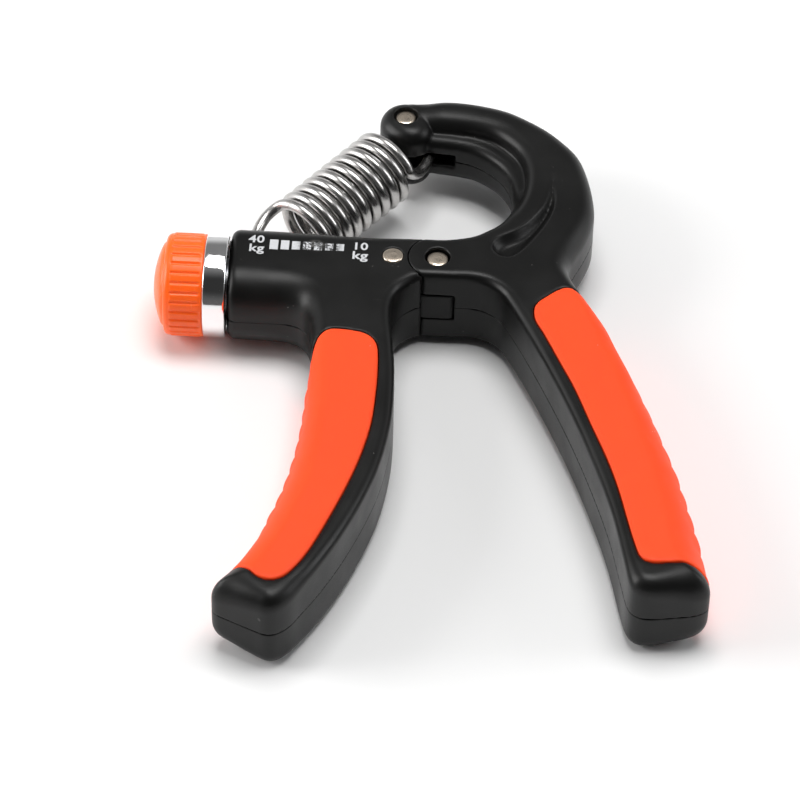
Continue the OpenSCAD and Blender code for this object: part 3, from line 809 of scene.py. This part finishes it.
def grip_outside(x, y, z, body, plan, outer, ribs):
    """Outside of a grip: just proud of the handle, with half-round ribs on its outer side."""
    edge, r = plan
    dist, arc = along(spline(outer, 8, closed=False), x, y)
    start, end, count = ribs
    t = (arc - start) / (end - start) * count
    phase = t - np.floor(t)
    # the ribs at both ends are lower
    size = np.clip(np.minimum(t + 0.25, count - t + 0.25), 0.3, 1.6) / 1.6
    rib = np.sqrt(np.clip(1 - (2 * phase - 1) ** 2, 0, 1)) * 0.7 * size
    rib = np.where((t > 0) & (t < count), rib, 0) * (dist < 7)
    fade = 1 - smooth_step(3.2, 6.4, np.abs(z))
    skin = extrude(edge - 0.06, np.abs(z) - (top_height(y) + 0.22), r + 0.2)
    return np.minimum(skin, body - 0.10) - rib * fade


def grip_trim(outside, body, region, x, y):
    v = round_meet(outside, poly_sdf(region, x, y) + 0.02, 0.45)
    return round_meet(v, -(body + GRIP_DEPTH) + 0.04, 0.1)


def hollow(body, x, y, z, screws, post_r):
    """Inner void that leaves a post round each screw."""
    void = meet(body + GRIP_DEPTH + WALL, span(z, 0, HOLLOW_HALF))
    return meet(void, *[post_r - distance(x, y, c) for c in screws])


def screw_holes(v, x, y, z, screws):
    """Blind holes from below, each with a counterbore for the head."""
    for centre in screws:
        r = distance(x, y, centre)
        v = cut(v, meet(r - SCREW_R, z - SCREW_TOP))
        v = round_cut(v, meet(r - SCREW_HEAD_R, z - SCREW_HEAD_Z), 0.15)
    return v


def one_half(v, z, top):
    return np.maximum(v, (-z if top else z) + PARTING_GAP)


# ------------------------------------------------------------------ left handle
HANDLE_END_X = -40.0
KNUCKLE_SEAT_R = 5.78
# the gate: a small bead on the grip
GATE, GATE_R = (-22.9, -26.1, 4.8), 0.72


def left_body(x, y, z):
    """The solid handle, and its plan as (edge distance, rounding)."""
    plan = poly_sdf(LEFT_OUTLINE, x, y), scattered(LEFT_ROUNDING, x, y, sigma=4.0)
    v = extrude(plan[0], np.abs(z) - top_height(y), plan[1])
    return round_meet(v, HANDLE_END_X - x, 1.7), plan


def left_shell(x, y, z, top):
    body, _ = left_body(x, y, z)
    v = grip_pocket(body, LEFT_REGION, x, y)
    v = round_cut(v, distance(x, y, PIVOT) - KNUCKLE_SEAT_R, 0.1)
    v = np.maximum(v, x - 0.2)
    v = cut(v, meet(span(y, 0, 3.35), span(z, 0, 3.05), -11.3 - x, x))  # tongue
    # barrel room, its top slanting with the handle
    slant = y - (5.9 - 0.07 * (x + 37.5))
    v = round_cut(v, meet(span(x, -26.9, 10.6), -9 - y, slant, span(z, 0, 6.7)), 0.2)
    slot = extrude(meet(span(x, -26.75, 11.75), 3.0 - y), span(z, 0, 2.75), 0.0)
    v = round_cut(v, slot, 0.35)
    # bearing seats, as radius, middle x, half length
    axle = np.hypot(y - KNOB_Y, z)
    for radius, middle, half in ((4.02, -39.0, 2.2), (3.52, -15.0, 1.7)):
        v = cut(v, meet(axle - radius, span(x, middle, half)))
    v = cut(v, meet(hollow(body, x, y, z, LEFT_SCREWS, post_r=3.4), y + 17.5))
    v = screw_holes(v, x, y, z, LEFT_SCREWS)
    v = round_cut(v, distance(x, y, LEFT_PIN) - BORE, BORE_EDGE)
    return one_half(v, z, top)


def left_grip(x, y, z):
    body, plan = left_body(x, y, z)
    outside = grip_outside(x, y, z, body, plan, LEFT_OUTER, LEFT_RIBS)
    gate = np.sqrt((x - GATE[0]) ** 2 + (y - GATE[1]) ** 2 + (z - GATE[2]) ** 2) - GATE_R
    return grip_trim(smooth_join(outside, gate, 0.3), body, LEFT_REGION, x, y)


def hinge_tongue(x, y, z):
    """Disc round the pivot with a neck towards -x."""
    r = distance(x, y, PIVOT)
    disc = meet(r - 5.85, -5.17 - y, y - 5.4)
    neck = meet(-11.1 - x, x, span(y, 0, 3.25))
    v = extrude(np.minimum(disc, neck), span(z, 0, 3.0), 0.12)
    return round_cut(v, r - BORE, 0.1)


# ------------------------------------------------------------------ right handle
KNUCKLE_R = 5.62
FLANGE_HALF = 4.75  # half thickness of the arm's inner flange
FLANGE_END_X = -6.0
STEP_BLEND = 0.9
# thick part of the arm where it meets the pin's boss
NECK = np.array([[-8.4, 40.1], [1.0, 39.7], [4.0, 39.3], [4.0, 47.6], [0.5, 47.7],
                 [-3.5, 47.55], [-8.4, 47.2]])
# slot for the hook, whose eye swings a little about the arm pin
SLOT_HALF = 1.45
EYE_SWING = np.array([EYE[:2], EYE[:2] + [0.95, 0.2]])
EYE_CLEAR_R = 6.62
SLOT_PLAN = np.array([[-20, 30], [2.0, 30], [2.0, 38.6], [0, 41.5], [-20, 41.5]], float)


def right_body(x, y, z):
    """The solid handle, and its plan as (edge distance, rounding)."""
    edge, r = poly_sdf(RIGHT_OUTLINE, x, y), scattered(RIGHT_ROUNDING, x, y, sigma=3.2)
    height = np.abs(z)
    # the arm thins towards its round end
    thin = smooth_step(14, -3, x) * smooth_step(30, 38, y)
    half = top_height(y) - 0.5 * thin - 0.95 * smooth_step(-0.5, -7.5, x) * (y > 20)
    upper = extrude(poly_sdf(DECK, x, y), height - half, r)
    # inner flange of the arm, lower than the deck, rising to meet it near the web
    rise = smooth_step(25, 12, y)
    flange_half = FLANGE_HALF + (half - FLANGE_HALF) * rise
    flange_r = np.minimum(r, 1.9) * (1 - rise) + r * rise
    flange = extrude(edge, height - flange_half, flange_r)
    flange = round_meet(flange, FLANGE_END_X - x, 0.5)
    v = smooth_join(upper, flange, STEP_BLEND)
    # the blend swells where both surfaces coincide, so take that back there
    v = np.where(np.abs(upper - flange) < STEP_BLEND,
                 np.minimum(upper, flange) * rise + v * (1 - rise), v)
    # neck and round end that holds the arm pin
    v = smooth_join(v, extrude(poly_sdf(NECK, x, y), height - 7.35, 3.3), 0.4)
    lobes = smooth_join(distance(x, y, ARM_PIN) - 5.1, distance(x, y, (-7.0, 40.1)) - 4.3, 1.2)
    v = smooth_join(v, extrude(lobes, height - 7.3, 3.1), 0.4)
    # round knuckles at the hinge
    seam = np.minimum(distance(x, y, PIVOT) - KNUCKLE_R, -x)
    seam = np.where(np.abs(y) < 12, seam, -9)
    return round_meet(v, seam, 0.1), (edge, r)


def right_shell(x, y, z, top):
    body, _ = right_body(x, y, z)
    v = grip_pocket(body, RIGHT_REGION, x, y)
    height = np.abs(z)
    pivot, arm_pin = distance(x, y, PIVOT), distance(x, y, ARM_PIN)
    v = round_cut(v, meet(pivot - 6.1, height - 3.1), 0.15)  # gap for the tongue
    # crescent recess in the web, shallower at its +y tip
    edge = poly_sdf(CRESCENT, x, y)
    tip = 0.35 + 0.65 * smooth_step(26, 12, y)
    deep = 1 - (1 - np.clip(-edge / 2.0, 0, 1)) ** 2
    floor_z = HALF + 0.25 - (0.55 + 1.75 * deep) * tip
    v = round_cut(v, meet(edge, floor_z - height), 0.35)
    slot = np.minimum(along(EYE_SWING, x, y)[0] - EYE_CLEAR_R, poly_sdf(SLOT_PLAN, x, y))
    v = round_cut(v, meet(slot, height - SLOT_HALF), 0.3)
    # the hollow keeps clear of the hinge and of the arm pin
    void = hollow(body, x, y, z, RIGHT_SCREWS, post_r=3.3)
    v = cut(v, meet(void, np.minimum(y + 13, 8 - y), 11.2 - arm_pin))
    # pin holes, each with a shallow counterbore at both faces
    v = round_cut(v, pivot - BORE, BORE_EDGE)
    v = round_cut(v, meet(pivot - 2.46, (HALF - 2.4) - height), 0.08)
    v = round_cut(v, arm_pin - BORE, BORE_EDGE)
    v = round_cut(v, meet(arm_pin - 2.42, 6.2 - height), 0.1)
    v = screw_holes(v, x, y, z, RIGHT_SCREWS)
    return one_half(v, z, top)


def right_grip(x, y, z):
    body, plan = right_body(x, y, z)
    outside = grip_outside(x, y, z, body, plan, RIGHT_OUTER, RIGHT_RIBS)
    return grip_trim(outside, body, RIGHT_REGION, x, y)


# ------------------------------------------------------------------ handle meshes
STEP = 0.42
FINE = 0.2
HINGE_Y = (-3.0, 3.0, FINE)
# side, field, low and high corners, fine bands along x and y
SHELLS = (
    ("left", left_shell, (-41.2, -92, -9.9), (3.2, 9.4, 9.9),
     ((-12.5, 1.0, FINE), (-41.2, -39.4, FINE)), (HINGE_Y,)),
    ("right", right_shell, (-14.6, -84, -9.9), (54, 49.4, 9.9),
     ((-10.8, 3.0, FINE),), (HINGE_Y, (39.5, 45.0, FINE))))
PAST_PARTING = 0.9  # how far each half's grid runs past the parting plane


def build_shells():
    for side, shell, lo, hi, fine_x, fine_y in SHELLS:
        halves = (
            ("top", (*lo[:2], -PAST_PARTING), hi, ((-0.12, 0.2, 0.05), (7.4, 9.2, FINE))),
            ("bottom", lo, (*hi[:2], PAST_PARTING), ((-0.2, 0.12, 0.05), (-9.2, -7.4, FINE))))
        for half, low, high, fine_z in halves:
            node = f"{side}_shell_{half}"
            ob = sdf_obj(node + "_m", lambda x, y, z: shell(x, y, z, half == "top"),
                         low, high, STEP, BLACK, (fine_x, fine_y, fine_z))
            add(ob, side + "_handle", "moulded_black", node)


def build_tongue_and_grips():
    ob = sdf_obj("hinge_tongue_m", hinge_tongue, (-11.6, -6.4, -3.6), (6.4, 6.4, 3.6),
                 0.24, HINGE_BLACK)
    add(ob, "left_handle", "hinge_black", "hinge_tongue")
    for side, grip, lo, hi in (
            ("left", left_grip, (-37, -87.5, -10.2), (-7, -19, 10.2)),
            ("right", right_grip, (17, -79.5, -10.2), (54.5, -4.5, 10.2))):
        ob = sdf_obj(side + "_grip_m", grip, lo, hi, STEP * 0.9, RUBBER)
        add(ob, side + "_handle", "soft_orange", side + "_grip")


# ------------------------------------------------------------------ turned pieces
def pin(node, centre, r, z0, z1, body, dome=0.12):
    """Turned pin: small bevels, faintly domed heads with a centre dimple."""
    heads = []
    for s, z in ((-1, z0), (1, z1)):
        heads.append([
            [0.02, z - s * 0.022], [0.22, z - s * 0.016], [0.42, z], [r * 0.45, z],
            [r * 0.72, z - s * dome * 0.3], [r * 0.9, z - s * dome * 0.8],
            [r - 0.04, z - s * (dome + 0.10)], [r, z - s * (dome + 0.25)]])
    profile = heads[0] + [[r, (z0 + z1) / 2]] + heads[1][::-1]
    ob = lathe(node + "_m", profile, NICKEL, centre, "z", 64)
    add(ob, body, "pin_steel", node)


def build_pins():
    pin("left_pin", LEFT_PIN, 2.0, -HALF - 0.05, HALF + 0.12, "left_handle")
    pin("pivot_pin", PIVOT, 2.05, -HALF + 0.5, HALF - 0.5, "right_handle")
    pin("arm_pin", ARM_PIN, 2.0, -6.7, 6.7, "arm_pin")
    pin("hook_pin", HOOK_PIN, 1.25, -2.5, 2.5, "carriage", dome=0.08)


# knob cap as [radius, x]: domed face, shoulder, fluted rim, hollow back
FLUTES = 32
FLUTE_R = 9.9
DOME_R = 8.1 / math.sin(math.radians(26))
CAP = [[0.02, -54.72]]
CAP += [[DOME_R * math.sin(a), -54.7 + (1 - math.cos(a)) * DOME_R]
        for a in np.radians(np.linspace(1.5, 24.5, 16))]
CAP += [[8.05, -52.72], [8.22, -52.5], [8.3, -52.36], [8.5, -52.3], [9.0, -52.28],
        [9.3, -52.2], [9.55, -52.0], [9.75, -51.7], [9.84, -51.4], [9.86, -51.2],
        [9.88, -51.05]]
CAP += [[FLUTE_R, x] for x in np.linspace(-50.95, -45.35, 29)]
CAP += [[FLUTE_R, -45.2], [9.92, -44.95], [9.88, -44.78], [9.7, -44.72], [8.2, -44.72],
        [8.02, -44.9], [8.0, -50.2], [7.4, -51.2], [5, -52.0], [0.02, -52.4]]
RING = [[8.92, -44.66], [9.6, -44.68], [9.88, -44.62], [9.97, -44.5], [10.0, -44.3],
        [10.0, -43.5], [10.0, -42.0], [10.0, -40.75], [9.97, -40.5], [9.86, -40.34],
        [9.55, -40.26], [8.92, -40.28], [8.92, -44.66]]


def flutes(radius, height, angle):
    """Change of radius: raised bars with grooves between them, on the rim only."""
    phase = (angle * FLUTES / (2 * math.pi)) % 1.0
    bar = smooth_step(0.06, 0.22, phase) * (1 - smooth_step(0.78, 0.94, phase))
    length = smooth_step(-51.0, -50.75, height) * (1 - smooth_step(-45.45, -45.25, height))
    rim = (radius > 9.85) & (radius < 9.95)
    return np.where(rim, length * (0.27 * bar - 0.16), 0.0)


def build_knob():
    axis = (KNOB_Y, 0)
    ob = lathe("knob_cap_m", CAP, KNOB_ORANGE, axis, "x", FLUTES * 16, modulate=flutes)
    add(ob, "knob", "knob_orange", "knob_cap")
    ob = lathe("chrome_ring_m", RING, CHROME, axis, "x", 160, closed=False)
    add(ob, "knob", "chrome", "chrome_ring")


# ------------------------------------------------------------------ spring
COIL_AXIS = np.array([-0.6667, -0.7327, -0.1366])
COIL_SIDE = np.array([0.7396, -0.6730, 0.0])
COIL_UP = np.array([-0.0919, -0.1010, 0.9906])
COIL_START = np.array([-11.15, 33.93, 1.5])
PITCH, COIL_R, COILS = 2.58, 6.64, 9
EYE_R, FOOT_R, WIRE_R = 5.2, 2.42, 1.1
LAST = 360 * COILS + 110  # degrees turned by the end of the coil


def coil_at(degrees):
    a = np.asarray(degrees, float)[..., None]
    turn = COIL_SIDE * np.cos(np.radians(a)) + COIL_UP * np.sin(np.radians(a))
    return COIL_START + COIL_AXIS * (PITCH * a / 360) + COIL_R * turn


def circle_at(centre, r, degrees):
    """Points of a level circle."""
    a = np.radians(np.asarray(degrees, float))[..., None]
    return centre + r * np.concatenate([np.cos(a), np.sin(a), 0 * a], -1)


def build_spring():
    """One wire, drawn as two pieces that meet inside the last coil."""
    bend = spline([circle_at(EYE, EYE_R, 0), [-3.3, 37.6, 0], [-4.1, 34.8, 0.1],
                   [-5.4, 32.0, 0.8], coil_at(16), coil_at(30)], 10, closed=False)[1:]
    upper = np.vstack([circle_at(EYE, EYE_R, np.arange(140, 1, -5.0)), bend,
                       coil_at(np.arange(34, LAST + 1, 4.0))])
    foot = coil_at(LAST)
    leg = spline([coil_at(LAST - 14), foot, foot + [-1.7, 1.0, -0.9], [-32.7, 18.1, 2.4],
                  [-34.5, 16.5, 1.3], [-35.8, 13.6, 0.4], [-36.3, 10.2, 0], [-36.35, 7.4, 0],
                  [-36.05, 5.2, 0]], 10, closed=False)[10:]
    hook = circle_at(np.array([*HOOK_PIN, 0.0]), FOOT_R, np.arange(188, 391, 6.0))
    lower = np.vstack([coil_at(np.arange(LAST - 4, LAST, 2.0)), leg, hook])
    coil_ob = tube("spring_coil_m", upper, WIRE_R, WIRE)
    leg_ob = tube("spring_leg_m", lower, WIRE_R, WIRE)

    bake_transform(coil_ob)
    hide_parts("spring_coil")
    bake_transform(leg_ob)
    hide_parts("spring_leg", "spring_hook")


# ------------------------------------------------------------------ printed scale
PRINT_Z = HALF + 0.012
BLOCK_HALF_HEIGHTS = (1.36, 1.27, 1.14, 1.10, 1.06, 0.98, 0.96)
BLOCK_X, BLOCK_PITCH, BLOCK_Y = -31.62, 2.13, 1.2
# name, text, x, y, size
LABELS = (("scale_high", "40", -35.04, 2.42, 2.6), ("scale_high_unit", "kg", -34.93, -0.05, 2.75),
          ("scale_low", "10", -15.0, 1.68, 2.6), ("scale_low_unit", "kg", -14.95, -0.85, 2.85))


def build_blocks():
    """Row of thin blocks that shrink towards +x."""
    verts, faces = [], []
    for i, h in enumerate(BLOCK_HALF_HEIGHTS):
        w = 0.82 - 0.012 * i
        x = BLOCK_X + BLOCK_PITCH * i
        k = len(verts)
        for z in (PRINT_Z - 0.05, PRINT_Z + 0.01):
            verts += [[x + sx * w, BLOCK_Y + sy * h, z]
                      for sx, sy in ((-1, -1), (1, -1), (1, 1), (-1, 1))]
        faces.append((k + 3, k + 2, k + 1, k))
        faces.append((k + 4, k + 5, k + 6, k + 7))
        faces += [(k + j, k + (j + 1) % 4, k + 4 + (j + 1) % 4, k + 4 + j) for j in range(4)]
    ob = mesh_obj("scale_blocks", verts, faces, PRINT, smooth=False)
    add(ob, "left_handle", "moulded_black")


def build_label(name, text, x, y, size):
    curve = bpy.data.curves.new(name, "FONT")
    curve.body = text
    curve.size = size * MM
    curve.align_x = "CENTER"
    curve.align_y = "CENTER"
    curve.offset = 0.00005 * size / 2.4
    curve.extrude = 0.00002
    curve.resolution_u = 4
    curve.space_character = 1.06
    temp = link_obj(name + "_curve", curve)
    graph = bpy.context.evaluated_depsgraph_get()
    me = bpy.data.meshes.new_from_object(temp.evaluated_get(graph))
    me.name = name
    bpy.data.objects.remove(temp)
    co = np.empty(len(me.vertices) * 3, np.float32)
    me.vertices.foreach_get("co", co)
    co = co.reshape(-1, 3)
    widen, heighten = 1.14, 1.06
    co[:, 0] = co[:, 0] * widen + x * MM
    co[:, 1] = co[:, 1] * heighten + y * MM
    co[:, 2] += (PRINT_Z + LIFT) * MM
    me.vertices.foreach_set("co", co.ravel())
    me.update()
    me.materials.clear()
    me.materials.append(PRINT)
    add(link_obj(name, me), "left_handle", "moulded_black")


# ------------------------------------------------------------------ carried-over CAD nodes
CAD_MATERIALS = (
    ("left_screws", ZINC), ("right_screws", ZINC), ("end_bearing", BRONZE),
    ("inner_bush", BRONZE), ("knob_core", HINGE_BLACK), ("thrust_washer", ZINC),
    ("adjusting_screw", ZINC), ("retaining_clip", ZINC), ("carriage_nut", ZINC))


def paint_cad_nodes():
    for node, mat in CAD_MATERIALS:
        # a node may go by another object name, which the frame then gives
        ob = bpy.data.objects.get(node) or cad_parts[node]
        if isinstance(ob, str):
            ob = bpy.data.objects[ob]
        if not ob.material_slots:
            ob.data.materials.append(mat)
        else:
            for slot in ob.material_slots:
                slot.material = mat


# ------------------------------------------------------------------ floor, light, camera
# first guess of where the knob's rim and both handle ends touch the floor
FLOOR_TOUCH = [(-47.5, KNOB_Y, -10.2), (-29.5, -87.0, -9.12), (45.5, -79.5, -9.12)]
FLOOR_HALF, FLOOR_CELLS = 1500.0, 24


def piece_points():
    """Every piece's vertices, in world millimetres."""
    bpy.context.view_layer.update()
    cloud = []
    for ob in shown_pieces():
        if ob.type == "MESH" and len(ob.data.vertices):
            co = np.empty(len(ob.data.vertices) * 3)
            ob.data.vertices.foreach_get("co", co)
            world = np.array(ob.matrix_world)
            cloud.append((co.reshape(-1, 3) @ world[:3, :3].T + world[:3, 3]) * 1000.0)
    return np.vstack(cloud)


def up_normal(points):
    n = np.cross(points[1] - points[0], points[2] - points[0])
    n /= np.linalg.norm(n)
    return -n if n[2] < 0 else n


def build_floor():
    """Flat pale floor that touches the knob's rim and both handle ends."""
    touch = np.array(FLOOR_TOUCH) + np.array([0, 0, LIFT])
    cloud = piece_points()
    cloud = cloud[cloud[:, 2] < 4.0]
    x, y = cloud[:, 0], cloud[:, 1]
    zones = [cloud[x < -40.5], cloud[(x > -40) & (x < 6) & (y < -20)],
             cloud[(x > 12) & (y < -20)]]
    # the lowest point of each zone, found again as the plane tilts
    for _ in range(8):
        n = up_normal(touch)
        touch = np.array([zone[np.argmin(zone @ n)] if len(zone) else point
                          for zone, point in zip(zones, touch)])
    n = up_normal(touch)
    centre = touch.mean(0)
    centre = centre + n * min(0.0, float(((cloud - centre) @ n).min()))
    u = np.cross([0, 1, 0], n)
    u /= np.linalg.norm(u)
    w = np.cross(n, u)
    row = FLOOR_CELLS + 1
    steps = [FLOOR_HALF * (2 * i / FLOOR_CELLS - 1) for i in range(row)]
    verts = np.array([centre + u * a + w * b for a in steps for b in steps]) - [0, 0, LIFT]
    faces = [(i * row + j, (i + 1) * row + j, (i + 1) * row + j + 1, i * row + j + 1)
             for i in range(FLOOR_CELLS) for j in range(FLOOR_CELLS)]
    mesh_obj("floor", verts, faces, white_floor(), smooth=False)


def area_light(name, place, target, size, energy, colour):
    light = bpy.data.lights.new(name, "AREA")
    light.shape = "RECTANGLE"
    light.size, light.size_y = size
    light.energy = energy
    light.color = colour
    ob = link_obj(name, light)
    ob.location = place
    aim = Vector(target) - Vector(place)
    ob.rotation_euler = aim.to_track_quat("-Z", "Y").to_euler()


def build_lights():
    area_light("key_top", place=(0.05, 0.10, 1.05), target=(0, -0.01, 0), size=(0.70, 0.50),
               energy=9.0, colour=(1.0, 0.998, 0.99))
    area_light("fill_left", place=(-0.95, -0.05, 0.42), target=(0, -0.02, 0), size=(0.45, 0.7),
               energy=6.6, colour=(1.0, 0.99, 0.98))
    area_light("fill_right", place=(0.95, 0.10, 0.42), target=(0, -0.02, 0), size=(0.35, 0.7),
               energy=2.7, colour=(0.98, 0.99, 1.0))


def build_world():
    """Dim where the camera stands (-y), mid grey behind, paler to the sides and low down."""
    base, low_gain, side_gain, right_share, front_loss = 0.19, 0.46, 0.38, 0.35, 0.84
    world = bpy.data.worlds.new("studio")
    bpy.context.scene.world = world
    world.use_nodes = True
    background = world.node_tree.nodes["Background"]
    g = Graph(world.node_tree)
    x, y, z = g.split(g.node("ShaderNodeTexCoord").outputs["Generated"])
    front = g.ramp(y, at=(-0.05, -0.55))
    left = g.ramp(x, at=(-0.30, -0.85))
    side = g.add(left, g.mul(g.ramp(x, at=(0.35, 0.9)), right_share))
    low = g.ramp(z, at=(0.55, 0.12))
    value = g.add(g.add(base, g.mul(low, low_gain)), g.mul(side, side_gain))
    value = g.mul(value, g.math("SUBTRACT", 1.0, g.mul(front, front_loss)))
    g.feed(background.inputs[1], value)
    background.inputs[0].default_value = (1.0, 1.0, 1.0, 1)


def build_camera():
    """Long lens looking down towards +y; the aim point lies off the view's middle."""
    elevation, yaw, roll = math.radians(45.5), math.radians(-2.0), math.radians(1.3)
    aim = np.array([0, 0, 8.0])
    ahead, aim_right, aim_up = 750.0, 7.23077, 27.11538  # aim point as seen by the camera
    level = np.array([math.cos(yaw), -math.sin(yaw), 0])
    forward = np.array([math.sin(yaw), math.cos(yaw), 0]) * math.cos(elevation)
    forward = forward + np.array([0, 0, -math.sin(elevation)])
    upright = np.cross(level, forward)
    right = level * math.cos(roll) + upright * math.sin(roll)
    up = upright * math.cos(roll) - level * math.sin(roll)
    place = aim - (ahead * forward + aim_right * right + aim_up * up)
    place = (place + [0, 0, LIFT]) * MM
    cam = bpy.data.cameras.new("camera")
    cam.lens = 175.5
    cam.sensor_width = 36.0
    cam.clip_start = 0.01
    cam.clip_end = 20
    ob = link_obj("camera", cam)
    rows = [(right[i], up[i], -forward[i], place[i]) for i in range(3)]
    ob.matrix_world = Matrix(rows + [(0, 0, 0, 1)])
    bpy.context.scene.camera = ob


# ------------------------------------------------------------------ build
build_shells()
build_tongue_and_grips()
build_pins()
build_knob()
build_spring()
build_blocks()
for label in LABELS:
    build_label(*label)
paint_cad_nodes()
build_floor()
build_lights()
build_world()
build_camera()
bpy.context.scene.view_settings.view_transform = "Standard"
bpy.context.scene.view_settings.look = "None"
